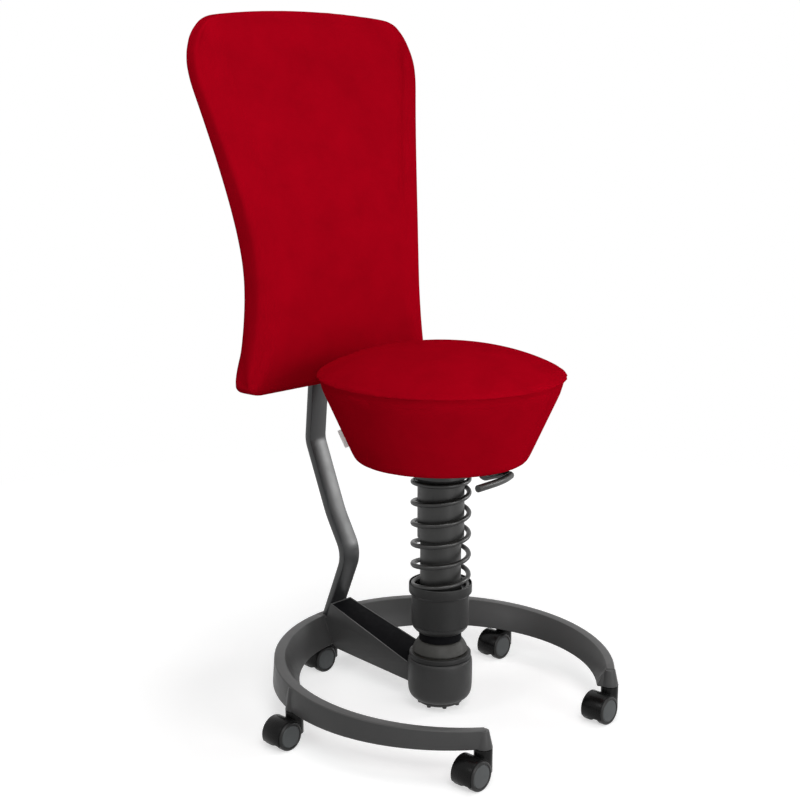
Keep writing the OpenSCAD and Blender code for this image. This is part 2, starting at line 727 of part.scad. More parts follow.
plate_top_z = hub_z + 29;
tray_w = 65;
tray_l = 90;
plate_t = 3;
pin_y = -28;
pin_r = 3;
hub_r = lift_d / 2 + 8;
plate_w = 200;
plate_l = 160;
screw_x = 84;
screw_y = 62;
lever_slot = lever_d + 10; // slot in the flange above the lever's rod
module seat_plate() {
    color(steel) difference() {
        union() {
            translate([0, 0, hub_z]) cylinder(h = 14, r = hub_r);
            translate([-tray_w / 2, -tray_l / 2, hub_z + 2]) cube([tray_w, tray_l, plate_t]);
            for (s = [-1, 1]) translate([s * (tray_w - plate_t) / 2 - plate_t / 2, -tray_l / 2, hub_z + 2])
                cube([plate_t, tray_l, plate_top_z - hub_z - 2]);
            difference() {
                translate([-plate_w / 2, -plate_l / 2, plate_top_z - plate_t])
                    cube([plate_w, plate_l, plate_t]);
                translate([-tray_w / 2 + plate_t, -tray_l / 2, plate_top_z - plate_t - 1])
                    cube([tray_w - 2 * plate_t, tray_l, plate_t + 2]);
            }
        }
        translate([0, 0, hub_z - 1]) cylinder(h = 30, r = lift_d / 2 + run_gap);
        translate([-lever_slot / 2, -plate_l / 2 - 1, plate_top_z - plate_t - 1])
            cube([lever_slot, plate_l / 2 - tray_l / 2 + 2, plate_t + 2]);
        translate([-tray_w, pin_y, pin_z]) rotate([0, 90, 0]) cylinder(h = 2 * tray_w, r = pin_r + press_gap);
        for (x = [-1, 1], y = [-1, 1]) translate([x * screw_x, y * screw_y, plate_top_z - plate_t - 1])
            cylinder(h = plate_t + 2, r = 3 + press_gap);
    }
}
module lever_pin() {
    color(steel) translate([-tray_w / 2 - 1.5, pin_y, pin_z]) rotate([0, 90, 0])
        cylinder(h = tray_w + 3, r = pin_r);
}
module plate_screws() {
    color(steel) for (x = [-1, 1], y = [-1, 1])
        translate([x * screw_x, y * screw_y, plate_top_z - plate_t]) difference() {
            union() {
                cylinder(h = plate_t + 7, r = 3);
                translate([0, 0, -3.05]) cylinder(h = 3, r1 = 4.6, r2 = 5.4);
            }
            translate([0, 0, -4]) cylinder(h = 3, r = 2, $fn = 6);
        }
}

// Release lever: a yoke on the pin and a bent rod that ends under the seat's front

yoke_r = 5.5;
yoke_w = 20;
socket_out = 30; // how far the rod socket reaches in front of the pin
module lever_yoke() {
    color(dark_grey) difference() {
        union() {
            translate([-yoke_w / 2, pin_y, pin_z]) rotate([0, 90, 0]) cylinder(h = yoke_w, r = yoke_r);
            translate([-6, pin_y, pin_z + 2]) cube([12, 4 - pin_y, yoke_r - 2]);
            translate([0, pin_y - 4, pin_z]) rotate([90, 0, 0])
                cylinder(h = socket_out - 4, r = lever_d / 2 + 0.9);
        }
        translate([-yoke_w, pin_y, pin_z]) rotate([0, 90, 0])
            cylinder(h = 2 * yoke_w, r = pin_r + run_gap);
        translate([0, pin_y - 8, pin_z]) rotate([90, 0, 0])
            cylinder(h = socket_out, r = lever_d / 2 + press_gap);
    }
}
grip_z = seat_low_z - 17;
lever_path = [[0, pin_y - 9, pin_z], [0, -90, pin_z], [-4, -94, grip_z - 3],
              [43, -101, grip_z - 3], [41, -122.5, grip_z - 1], [-3, -141, grip_z + 1],
              [-71, -143, grip_z + 1]];
lever_bend = [0, 14, 12, 10, 10, 170];
lever_steps = [0, 4, 4, 4, 4, 3];
lever_line = concat([lever_path[0]],
    [for (i = [1:5]) each arc_corner(lever_path[i - 1], lever_path[i], lever_path[i + 1],
                                     lever_bend[i], lever_steps[i])],
    [lever_path[6]]);
// Side vector of a tube along a line, carried from ring to ring
function carry(dirs, i, side) = i >= len(dirs) ? [] :
    let (s = unit(side - (side * dirs[i]) * dirs[i])) concat([s], carry(dirs, i + 1, s));
rod_sides = 8;
module lever_rod() {
    last = len(lever_line) - 1;
    dirs = [for (i = [0:last]) line_dir(lever_line, i)];
    sides = carry(dirs, 0, [1, 0, 0]);
    points = [for (i = [0:last]) let (u = sides[i], w = cross(dirs[i], u))
        each [for (k = [0:rod_sides - 1]) let (a = -360 * k / rod_sides)
            lever_line[i] + lever_d / 2 * (cos(a) * u + sin(a) * w)]];
    color(dark_grey) skin(points, last + 1, rod_sides);
}

// Seat

skirt_slope = (seat_rim_r - 3 - seat_low_r) / (seat_seam_z - seat_low_z - 4);
// Radius of the skirt's outer face at height z
function skirt_r(z) = seat_low_r + skirt_slope * (z - seat_low_z - 4);
shell_top_z = plate_top_z - 2;
board_r = skirt_r(plate_top_z) - skirt_t - seat_gap - 3.3; // board stays inside the shell's outer face

module seat_board() {
    color([0.76, 0.6, 0.42]) difference() {
        translate([0, 0, plate_top_z + 0.05]) cylinder(h = board_t, r = board_r);
        for (x = [-1, 1], y = [-1, 1]) translate([x * screw_x, y * screw_y, plate_top_z - 1])
            cylinder(h = 9, r = 3 + press_gap);
    }
}
// Stiff inner cone that carries the skirt from the board, with an inward flange under it
shell_foot = 16;
module seat_shell() {
    function outer(z) = skirt_r(z) - skirt_t - seat_gap;
    low = seat_low_z + 2;
    color(black) rotate_extrude() polygon([
        [outer(low) - shell_t, low], [outer(low), low], [outer(shell_top_z), shell_top_z],
        [outer(shell_top_z), plate_top_z], [board_r - shell_foot, plate_top_z],
        [board_r - shell_foot, shell_top_z - 2.5], [outer(shell_top_z - 2.5) - shell_t, shell_top_z - 2.5]]);
}
module seat_skirt() {
    low_in = skirt_r(seat_low_z) - skirt_t;
    top_in = skirt_r(shell_top_z) - skirt_t;
    color(red) rotate_extrude() polygon([
        [low_in, seat_low_z], [seat_low_r - 8, seat_low_z], [seat_low_r - 4, seat_low_z + 0.8],
        [seat_low_r - 0.9, seat_low_z + 2.4], [skirt_r(seat_low_z + 6), seat_low_z + 6],
        [skirt_r(seat_seam_z) - 0.4, seat_seam_z - 2], [skirt_r(seat_seam_z) - 1.6, seat_seam_z],
        [max(top_in, board_r + 0.4), seat_seam_z], [max(top_in, board_r + 0.4), plate_top_z + 0.4],
        [top_in, plate_top_z + 0.4], [top_in, shell_top_z]]);
}
crown_steps = 14;
rim_z0 = seat_seam_z + 7;
module seat_cushion() {
    function crown(r) = rim_z0 + (seat_top_z - rim_z0) * (1 - pow(r / (seat_rim_r - 1), 2.35));
    color(red) rotate_extrude() polygon(concat(
        [[0, seat_seam_z + 0.3], [skirt_r(seat_seam_z) - 1.6, seat_seam_z + 0.3],
         [seat_rim_r - 1, seat_seam_z + 1.8], [seat_rim_r, seat_seam_z + 4.2]],
        [for (i = [0:crown_steps]) let (r = (seat_rim_r - 1) * sin(90 * (1 - i / crown_steps)))
            [r, crown(r)]]));
}
// Small blank cloth tag that stands out from the skirt's side seam
tag_angle = 133;
tag_low_z = seat_low_z + 20;
tag_w = 12;
tag_l = 33;
tag_t = 0.9;
module seat_tag() {
    lean = atan(skirt_slope);
    color("white") rotate([0, 0, tag_angle]) translate([skirt_r(tag_low_z) + 0.4, 0, tag_low_z])
        rotate([0, lean, 0]) translate([0, -tag_t / 2, 0]) cube([tag_w, tag_t, tag_l]);
}

// Castors, drawn at the stem axis and trailing towards -X

wheel_r = wheel_d / 2;
hood_r = wheel_r + 1.9;
hood_in_r = wheel_r + 0.7;
face_out = wheel_gap / 2 + wheel_w;
hood_half_w = face_out - 3.4;
web_half = wheel_gap / 2 - 0.7;
stem_top_z = ring_clear + stem_depth - 0.8;
boss_top_z = ring_clear - 1.3;

module place_castor(i) {
    p = castor_xy(i);
    translate([p[0], p[1], 0]) children();
}
module across(x, z) {
    translate([x, 0, z]) rotate([90, 0, 0]) children();
}
module castor_hood(i) {
    color(black) place_castor(i) difference() {
        union() {
            intersection() {
                across(-castor_trail, wheel_r) cylinder(h = 2 * hood_half_w, r = hood_r, center = true);
                union() {
                    translate([-castor_trail - 40, -30, 13]) cube([40, 60, 60]);
                    translate([-castor_trail - 1, -30, wheel_r + 3]) cube([60, 60, 60]);
                    translate([-castor_trail - 40, -web_half, wheel_r - 10]) cube([80, 2 * web_half, 60]);
                }
            }
            difference() {
                translate([0, 0, wheel_r - 7]) cylinder(h = boss_top_z - wheel_r + 7, r = boss_r - 1.8);
                translate([-castor_trail - 1, -40, 0]) rotate([0, 0, 0]) cube([1, 80, 10]);
            }
            translate([0, 0, boss_top_z - 1]) cylinder(h = stem_top_z - boss_top_z + 1, r = stem_d / 2);
        }
        for (s = [-1, 1]) across(-castor_trail, wheel_r) translate([0, 0, s * (web_half + 20)])
            cylinder(h = 40, r = hood_in_r, center = true);
        across(-castor_trail, wheel_r) cylinder(h = 60, r = axle_d / 2 + press_gap, center = true);
    }
}
axle_half = face_out - 4.5;
module castor_axle(i) {
    color(steel) place_castor(i) across(-castor_trail, wheel_r)
        cylinder(h = 2 * axle_half, r = axle_d / 2, center = true);
}
// One wheel: rolling rim, rounded shoulder and slightly domed outer face
module castor_wheel(i, side) {
    b = axle_d / 2 + run_gap;
    color(dark_grey) place_castor(i)
        across(-castor_trail, wheel_r) mirror([0, 0, side > 0 ? 0 : 1])
        rotate_extrude() polygon([
            [b, wheel_gap / 2], [wheel_r - 1, wheel_gap / 2], [wheel_r, wheel_gap / 2 + 1],
            [wheel_r, face_out - 3.2], [wheel_r - 0.8, face_out - 1.4],
            [wheel_r - 2.6, face_out - 0.4], [wheel_r - 5, face_out - 0.5],
            [wheel_r - 6, face_out - 1.1], [wheel_r - 10, face_out - 0.4], [wheel_r - 17, face_out],
            [0, face_out + 0.2], [0, axle_half + 0.3], [b, axle_half + 0.3]]);
}

ring_left();
ring_right();
support_arm();
arm_cover();
housing();
retaining_ring();
pivot_post();
base_cap();
cap_screws();
castor_sockets();
back_bar();
back_bracket();
bracket_bolts();
back_shell();
back_pad();
rubber_core();
strut_foot();
sway_dome();
lower_tube();
thrust_ring();
coil_spring();
tension_cup();
upper_tube();
sleeve_bush();
spring_flange();
gas_cylinder();
lift_bush();
lift_rod();
valve_button();
seat_plate();
seat_board();
seat_shell();
seat_skirt();
seat_cushion();
plate_screws();
lever_pin();
lever_yoke();
lever_rod();
seat_tag();
for (i = [0:4]) {
    castor_hood(i);
    castor_axle(i);
    castor_wheel(i, 1);
    castor_wheel(i, -1);
}
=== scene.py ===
"""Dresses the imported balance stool: padded red cloth, painted castings and tubes,
glossy castor hoods, the coil spring and the bent release lever, on a pale floor."""

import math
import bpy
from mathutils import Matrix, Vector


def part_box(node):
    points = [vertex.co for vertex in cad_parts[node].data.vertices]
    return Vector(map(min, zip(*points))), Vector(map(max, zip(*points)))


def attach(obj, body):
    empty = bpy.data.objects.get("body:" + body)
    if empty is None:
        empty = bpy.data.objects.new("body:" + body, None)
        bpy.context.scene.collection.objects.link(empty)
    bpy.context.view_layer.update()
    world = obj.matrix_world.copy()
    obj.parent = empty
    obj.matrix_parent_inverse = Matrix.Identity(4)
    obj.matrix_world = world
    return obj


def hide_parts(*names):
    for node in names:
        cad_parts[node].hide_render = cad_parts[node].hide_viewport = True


bl_info = {
    "name": "Balance Stool Dressing",
    "version": (1, 0, 0),
    "blender": (4, 5, 0),
    "location": "View3D > Sidebar > Stool",
    "description": "Models and finishes the visible pieces of a sprung balance stool with backrest",
    "category": "Object",
}

import bpy
from bpy.props import (
    FloatProperty,
    FloatVectorProperty,
    IntProperty,
    PointerProperty,
)
from mathutils import Vector

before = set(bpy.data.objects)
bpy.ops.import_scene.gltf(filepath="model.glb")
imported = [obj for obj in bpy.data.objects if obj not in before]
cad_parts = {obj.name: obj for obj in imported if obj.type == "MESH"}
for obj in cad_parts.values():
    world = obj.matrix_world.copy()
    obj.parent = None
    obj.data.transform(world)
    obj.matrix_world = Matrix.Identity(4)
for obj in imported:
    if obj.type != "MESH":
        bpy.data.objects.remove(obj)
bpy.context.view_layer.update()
MM = 0.001


def srgb(red, green, blue):
    """A colour given as 0 to 255 display values, in Blender's linear values."""
    out = []
    for value in (red, green, blue):
        v = value / 255
        out.append(v / 12.92 if v <= 0.04045 else ((v + 0.055) / 1.055) ** 2.4)
    return tuple(out)


# Properties


def colour_property(name, description, value):
    return FloatVectorProperty(
        name=name,
        description=description,
        subtype="COLOR",
        size=3,
        min=0,
        max=1,
        default=srgb(*value),
    )


def length_property(name, description, millimetres, low=0.0, high=1000.0):
    return FloatProperty(
        name=name,
        description=description,
        subtype="DISTANCE",
        unit="LENGTH",
        default=millimetres * MM,
        min=low * MM,
        max=high * MM,
    )


def power_property(name, description, watts):
    return FloatProperty(name=name, description=description, default=watts, min=0, unit="POWER")


class StoolColours(bpy.types.PropertyGroup):
    """Colours of the stool's finishes."""

    cloth: colour_property("Cloth", "Dyed cover cloth of seat and backrest", (147, 2, 19))
    casting: colour_property("Castings", "Painted ring and rear arm", (65, 65, 65))
    bar: colour_property("Bar", "Painted backrest bar", (40, 41, 42))
    column: colour_property("Column", "Painted tubes of the column", (22, 22, 21))
    cup: colour_property("Cup", "Moulded tension cup and joint ring", (28, 28, 28))
    housing: colour_property("Housing", "Cast housing of the sway joint", (46, 46, 46))
    rubber: colour_property("Rubber", "Rubber dome of the sway joint", (26, 25, 21))
    inlay: colour_property("Inlay", "Dark inlay on the rear arm", (12, 12, 14))
    hood: colour_property("Hoods", "Glossy castor hoods", (10, 10, 10))
    tyre: colour_property("Tyres", "Treads and rims of the castor wheels", (14, 14, 14))
    wheel: colour_property("Wheels", "Faces of the castor wheels", (50, 53, 54))
    steel: colour_property("Steel", "Bare steel fittings", (150, 150, 152))
    tag: colour_property("Tag", "Blank cloth tag on the skirt", (245, 246, 244))


class StoolSizes(bpy.types.PropertyGroup):
    """Sizes of the dressed details."""

    voxel: length_property("Pad mesh", "Mesh size of a pad before it is inflated", 6.0, 4, 12)
    pad_swell: length_property("Pad swell", "Furthest that a pad's cloth may move", 7.0, 0, 16)
    seam_depth: length_property("Seam depth", "How far a sewn seam draws the cloth in", 1.4, 0, 4)
    seam_width: length_property("Seam width", "Half width of a seam's hollow", 3.4, 1, 8)
    wire: length_property("Spring wire", "Diameter of the coil spring's wire", 8.8, 5, 9)
    edge: length_property("Edge softness", "Bevel on cast and moulded edges", 0.7, 0.1, 2)
    turn_steps: IntProperty(
        name="Turning steps",
        description="Steps of each piece turned about an axis",
        default=96,
        min=24,
        max=256,
    )


class StoolStage(bpy.types.PropertyGroup):
    """Light and camera."""

    key_power: power_property("Key light", "Power of the large key light", 42)
    fill_power: power_property("Fill light", "Power of the low fill light", 27)
    top_power: power_property("Top light", "Power of the overhead light", 27)
    edge_power: power_property("Edge light", "Power of the narrow lamp on the right", 1.8)
    band_power: power_property("Band light", "Power of the narrow lamp on the left", 1.6)
    lens: FloatProperty(
        name="Lens",
        description="Focal length on a 36 mm wide sensor",
        default=67.3,
        min=20,
        max=200,
    )


# Modelling helpers


def nothing_selected():
    """Leaves edit mode and clears the selection."""
    if bpy.context.object and bpy.context.object.mode != "OBJECT":
        bpy.ops.object.mode_set(mode="OBJECT")
    bpy.ops.object.select_all(action="DESELECT")


def pick(piece):
    """Makes a piece the only selected and active object."""
    nothing_selected()
    piece.hide_viewport = False
    piece.select_set(True)
    bpy.context.view_layer.objects.active = piece


def edit_all(piece):
    """Opens a piece in edit mode with everything selected."""
    pick(piece)
    bpy.ops.object.mode_set(mode="EDIT")
    bpy.ops.mesh.select_all(action="SELECT")


def apply_modifier(piece, kind, name, **settings):
    """Adds a modifier with its settings and applies it."""
    pick(piece)
    modifier = piece.modifiers.new(name, kind)
    for key, value in settings.items():
        setattr(modifier, key, value)
    bpy.ops.object.modifier_apply(modifier=name)


def outline(name, points):
    """A closed loop of edges through points in metres."""
    nothing_selected()
    bpy.ops.mesh.primitive_circle_add(vertices=len(points), radius=0.01)
    piece = bpy.context.active_object
    piece.name = piece.data.name = name
    for vertex, point in zip(piece.data.vertices, points):
        vertex.co = point
    return piece


def turned(name, profile, centre=(0, 0, 0), axis=(0, 0, 1), across=(1, 0, 0), steps=None):
    """A piece turned about an axis. The profile is a loop of (radius, height) in mm."""
    centre, axis, across = Vector(centre), Vector(axis), Vector(across)
    piece = outline(name, [centre + across * r * MM + axis * h * MM for r, h in profile])
    edit_all(piece)
    bpy.ops.mesh.spin(
        steps=steps or bpy.context.scene.stool_sizes.turn_steps,
        angle=math.tau,
        center=centre,
        axis=axis,
    )
    bpy.ops.mesh.select_all(action="SELECT")
    bpy.ops.mesh.remove_doubles(threshold=1e-6)
    bpy.ops.mesh.delete_loose()
    bpy.ops.mesh.select_all(action="SELECT")
    bpy.ops.mesh.normals_make_consistent(inside=False)
    bpy.ops.object.mode_set(mode="OBJECT")
    return piece


def swept(name, path, radius, sides=16):
    """A round bar along a path of points in metres, with flat closed ends."""
    nothing_selected()
    bpy.ops.curve.primitive_bezier_curve_add()
    piece = bpy.context.active_object
    curve = piece.data
    curve.splines.clear()
    spline = curve.splines.new("POLY")
    spline.points.add(len(path) - 1)
    for point, place in zip(spline.points, path):
        point.co = (*place, 1)
    curve.dimensions = "3D"
    curve.bevel_depth = radius
    curve.bevel_resolution = max(1, sides // 4 - 1)
    curve.use_fill_caps = True
    curve.twist_mode = "MINIMUM"
    piece.name = name
    bpy.ops.object.convert(target="MESH")
    piece = bpy.context.active_object
    piece.name = piece.data.name = name
    edit_all(piece)
    bpy.ops.mesh.remove_doubles(threshold=1e-6)
    bpy.ops.mesh.normals_make_consistent(inside=False)
    bpy.ops.object.mode_set(mode="OBJECT")
    return piece


def merged_copy(node, name):
    """A copy of a CAD node with its triangles welded."""
    nothing_selected()
    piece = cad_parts[node].copy()
    piece.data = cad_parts[node].data.copy()
    piece.parent = None
    piece.animation_data_clear()
    for key in list(piece.keys()):
        del piece[key]
    bpy.context.scene.collection.objects.link(piece)
    piece.name = piece.data.name = name
    piece.hide_render = piece.hide_viewport = False
    pick(piece)
    if piece.data.has_custom_normals:
        bpy.ops.mesh.customdata_custom_splitnormals_clear()
    edit_all(piece)
    bpy.ops.mesh.remove_doubles(threshold=2e-6)
    bpy.ops.object.mode_set(mode="OBJECT")
    return piece


def softened(piece, width, angle=32):
    """Rounds a piece's sharp edges and smooths the rest."""
    edit_all(piece)
    bpy.ops.mesh.dissolve_limited(angle_limit=math.radians(0.5))
    bpy.ops.object.mode_set(mode="OBJECT")
    apply_modifier(
        piece,
        "BEVEL",
        "Edge",
        width=width,
        segments=2,
        limit_method="ANGLE",
        angle_limit=math.radians(angle),
        use_clamp_overlap=True,
    )
    smooth(piece, angle)


def smooth(piece, angle=32):
    """Shades a piece smooth except at edges sharper than the angle."""
    pick(piece)
    bpy.ops.object.shade_smooth_by_angle(angle=math.radians(angle))


def dress(piece, material, body, slot, *nodes):
    """Gives a finished piece its material and body and hides the CAD nodes it stands for; the slot
    is not used.
    """
    piece.data.materials.clear()
    piece.data.materials.append(material)
    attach(piece, body)
    if nodes:
        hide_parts(*nodes)
    return piece


def paint_node(material, *names):
    """Gives CAD nodes that stay in view a better material."""
    for name in names:
        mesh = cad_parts[name].data
        mesh.materials.clear()
        mesh.materials.append(material)


# Materials


def new_material(name):
    material = bpy.data.materials.new(name)
    material.use_nodes = True
    tree = material.node_tree
    shader = tree.nodes["Principled BSDF"]
    return material, tree, shader


def add_node(tree, kind, **inputs):
    node = tree.nodes.new(kind)
    for key, value in inputs.items():
        node.inputs[key.replace("_", " ")].default_value = value
    return node


def object_coordinates(tree):
    return tree.nodes.new("ShaderNodeTexCoord").outputs["Object"]


def noise_texture(tree, place, scale, detail=3.0, roughness=0.5):
    node = add_node(tree, "ShaderNodeTexNoise", Scale=scale, Detail=detail, Roughness=roughness)
    tree.links.new(place, node.inputs["Vector"])
    return node.outputs["Fac"]


def colour_ramp(tree, factor, stops):
    node = tree.nodes.new("ShaderNodeValToRGB")
    ramp = node.color_ramp
    for index, (position, colour) in enumerate(stops):
        element = ramp.elements[index] if index < 2 else ramp.elements.new(position)
        element.position = position
        element.color = (*colour, 1)
    tree.links.new(factor, node.inputs["Fac"])
    return node.outputs["Color"]


def value_range(tree, factor, low, high, from_low=0.3, from_high=0.7):
    """Maps a factor between from_low and from_high to values between low and high."""
    node = tree.nodes.new("ShaderNodeMapRange")
    node.inputs["From Min"].default_value = from_low
    node.inputs["From Max"].default_value = from_high
    node.inputs["To Min"].default_value = low
    node.inputs["To Max"].default_value = high
    tree.links.new(factor, node.inputs["Value"])
    return node.outputs["Result"]


def mixed_colour(tree, factor, low, high):
    """Blends two linked colours, from low to high as the factor rises."""
    mix = tree.nodes.new("ShaderNodeMix")
    mix.data_type = "RGBA"
    tree.links.new(factor, mix.inputs["Factor"])
    tree.links.new(low, mix.inputs["A"])
    tree.links.new(high, mix.inputs["B"])
    return mix.outputs["Result"]


def add_bump(tree, height, distance, strength=1.0, normal=None):
    node = tree.nodes.new("ShaderNodeBump")
    node.inputs["Distance"].default_value = distance
    node.inputs["Strength"].default_value = strength
    tree.links.new(height, node.inputs["Height"])
    if normal is not None:
        tree.links.new(normal, node.inputs["Normal"])
    return node.outputs["Normal"]


def seen_directly(tree):
    """One for rays from the camera, in a mirror or through glass, and nought for the rest."""
    path = tree.nodes.new("ShaderNodeLightPath")
    seen = path.outputs["Is Camera Ray"]
    for name in ("Is Glossy Ray", "Is Transmission Ray"):
        either = tree.nodes.new("ShaderNodeMath")
        either.operation = "MAXIMUM"
        tree.links.new(seen, either.inputs[0])
        tree.links.new(path.outputs[name], either.inputs[1])
        seen = either.outputs[0]
    return seen


def scaled(colour, factor):
    return tuple(min(1.0, c * factor) for c in colour)


def cloth_material(name, colour):
    """Dense brushed cloth: fine weave, short nap and a soft mottled dye."""
    material, tree, shader = new_material(name)
    place = object_coordinates(tree)
    mottle = noise_texture(tree, place, 16, 5, 0.62)
    fibre = noise_texture(tree, place, 900, 2, 0.6)
    mix = tree.nodes.new("ShaderNodeMath")
    mix.operation = "MULTIPLY_ADD"
    mix.inputs[1].default_value = 0.35
    tree.links.new(fibre, mix.inputs[0])
    tree.links.new(mottle, mix.inputs[2])
    shade = colour_ramp(
        tree,
        mix.outputs[0],
        [(0.42, scaled(colour, 0.9)), (0.92, scaled(colour, 1.08)), (0.66, colour)],
    )
    tree.links.new(shade, shader.inputs["Base Color"])
    tree.links.new(value_range(tree, fibre, 0.8, 0.96), shader.inputs["Roughness"])
    weave = None
    for axis in ("X", "Z"):
        wave = add_node(tree, "ShaderNodeTexWave", Scale=320.0, Distortion=1.2, Detail=1.0)
        wave.bands_direction = axis
        tree.links.new(place, wave.inputs["Vector"])
        weave = add_bump(tree, wave.outputs["Fac"], 0.00012, 0.35, weave)
    nap = add_bump(tree, fibre, 0.0004, 0.5, weave)
    puckers = add_bump(tree, noise_texture(tree, place, 42, 3, 0.5), 0.0012, 0.35, nap)
    tree.links.new(puckers, shader.inputs["Normal"])
    shader.inputs["Specular IOR Level"].default_value = 0.0
    shader.inputs["Sheen Weight"].default_value = 0.02
    shader.inputs["Sheen Roughness"].default_value = 0.4
    shader.inputs["Sheen Tint"].default_value = (*colour, 1)
    return material


def painted_material(
    name, colour, roughness=0.45, grain=1400, depth=0.00006, specular=0.5, painted_top_light=0.0
):
    """Powder coat on metal: fine orange peel and slight random changes of tone; painted light can
    make faces turned up paler.
    """
    material, tree, shader = new_material(name)
    place = object_coordinates(tree)
    cloud = noise_texture(tree, place, 9, 4, 0.55)
    peel = noise_texture(tree, place, grain, 2, 0.5)
    shade = colour_ramp(tree, cloud, [(0.3, scaled(colour, 0.9)), (0.7, scaled(colour, 1.08))])
    # Painted light: the colour is lightened on faces turned up, standing in for light from above.
    if painted_top_light:
        facing = tree.nodes.new("ShaderNodeSeparateXYZ")
        tree.links.new(tree.nodes.new("ShaderNodeNewGeometry").outputs["Normal"], facing.inputs[0])
        top_lit_colour = colour_ramp(
            tree,
            cloud,
            [(0.3, scaled(colour, 0.9 + painted_top_light)), (0.7, scaled(colour, 1.08 + painted_top_light))],
        )
        upward = value_range(tree, facing.outputs["Z"], 0.0, 1.0, 0.5, 0.95)
        shade = mixed_colour(tree, upward, shade, top_lit_colour)
    tree.links.new(shade, shader.inputs["Base Color"])
    tree.links.new(
        value_range(
            tree, noise_texture(tree, place, 60, 4, 0.6), roughness * 0.92, roughness * 1.15
        ),
        shader.inputs["Roughness"],
    )
    coarse = add_bump(tree, noise_texture(tree, place, grain / 5, 2, 0.5), depth * 2.5, 0.25)
    tree.links.new(add_bump(tree, peel, depth, 0.6, coarse), shader.inputs["Normal"])
    shader.inputs["Specular IOR Level"].default_value = specular
    return material


def moulded_material(name, colour, roughness=0.5, specular=0.5, texture=700, depth=0.0001):
    """Moulded plastic with a spark-eroded grain."""
    material, tree, shader = new_material(name)
    place = object_coordinates(tree)
    cell = add_node(tree, "ShaderNodeTexVoronoi", Scale=float(texture))
    tree.links.new(place, cell.inputs["Vector"])
    cloud = noise_texture(tree, place, 14, 4, 0.5)
    shade = colour_ramp(tree, cloud, [(0.3, scaled(colour, 0.93)), (0.7, scaled(colour, 1.06))])
    tree.links.new(shade, shader.inputs["Base Color"])
    tree.links.new(
        value_range(
            tree, noise_texture(tree, place, 90, 3, 0.6), roughness - 0.05, roughness + 0.07
        ),
        shader.inputs["Roughness"],
    )
    tree.links.new(add_bump(tree, cell.outputs["Distance"], depth, 0.3), shader.inputs["Normal"])
    shader.inputs["Specular IOR Level"].default_value = specular
    return material


def rubber_material(name, colour):
    """Dull rubber with a fine grain."""
    return moulded_material(name, colour, 0.55, 0.45, 1200, 0.00005)


def steel_material(name, colour, roughness=0.32):
    """Drawn steel with fine lines along its length."""
    material, tree, shader = new_material(name)
    place = object_coordinates(tree)
    stretch = tree.nodes.new("ShaderNodeMapping")
    stretch.inputs["Scale"].default_value = (1, 1, 0.04)
    tree.links.new(place, stretch.inputs["Vector"])
    lines = noise_texture(tree, stretch.outputs["Vector"], 2600, 2, 0.5)
    shade = colour_ramp(
        tree,
        noise_texture(tree, place, 40, 4),
        [(0.3, scaled(colour, 0.9)), (0.7, scaled(colour, 1.08))],
    )
    tree.links.new(shade, shader.inputs["Base Color"])
    tree.links.new(
        value_range(tree, lines, roughness - 0.08, roughness + 0.1),
        shader.inputs["Roughness"],
    )
    tree.links.new(add_bump(tree, lines, 0.00002, 0.4), shader.inputs["Normal"])
    shader.inputs["Metallic"].default_value = 1.0
    return material


def wood_material(name):
    """Raw plywood: long pale grain."""
    material, tree, shader = new_material(name)
    place = object_coordinates(tree)
    stretch = tree.nodes.new("ShaderNodeMapping")
    stretch.inputs["Scale"].default_value = (1, 0.08, 1)
    tree.links.new(place, stretch.inputs["Vector"])
    grain = noise_texture(tree, stretch.outputs["Vector"], 120, 6, 0.6)
    shade = colour_ramp(tree, grain, [(0.3, srgb(176, 138, 92)), (0.7, srgb(212, 178, 132))])
    tree.links.new(shade, shader.inputs["Base Color"])
    tree.links.new(value_range(tree, grain, 0.55, 0.75), shader.inputs["Roughness"])
    tree.links.new(add_bump(tree, grain, 0.0002, 0.4), shader.inputs["Normal"])
    return material


finishes = {}
CASTORS = range(1, 6)


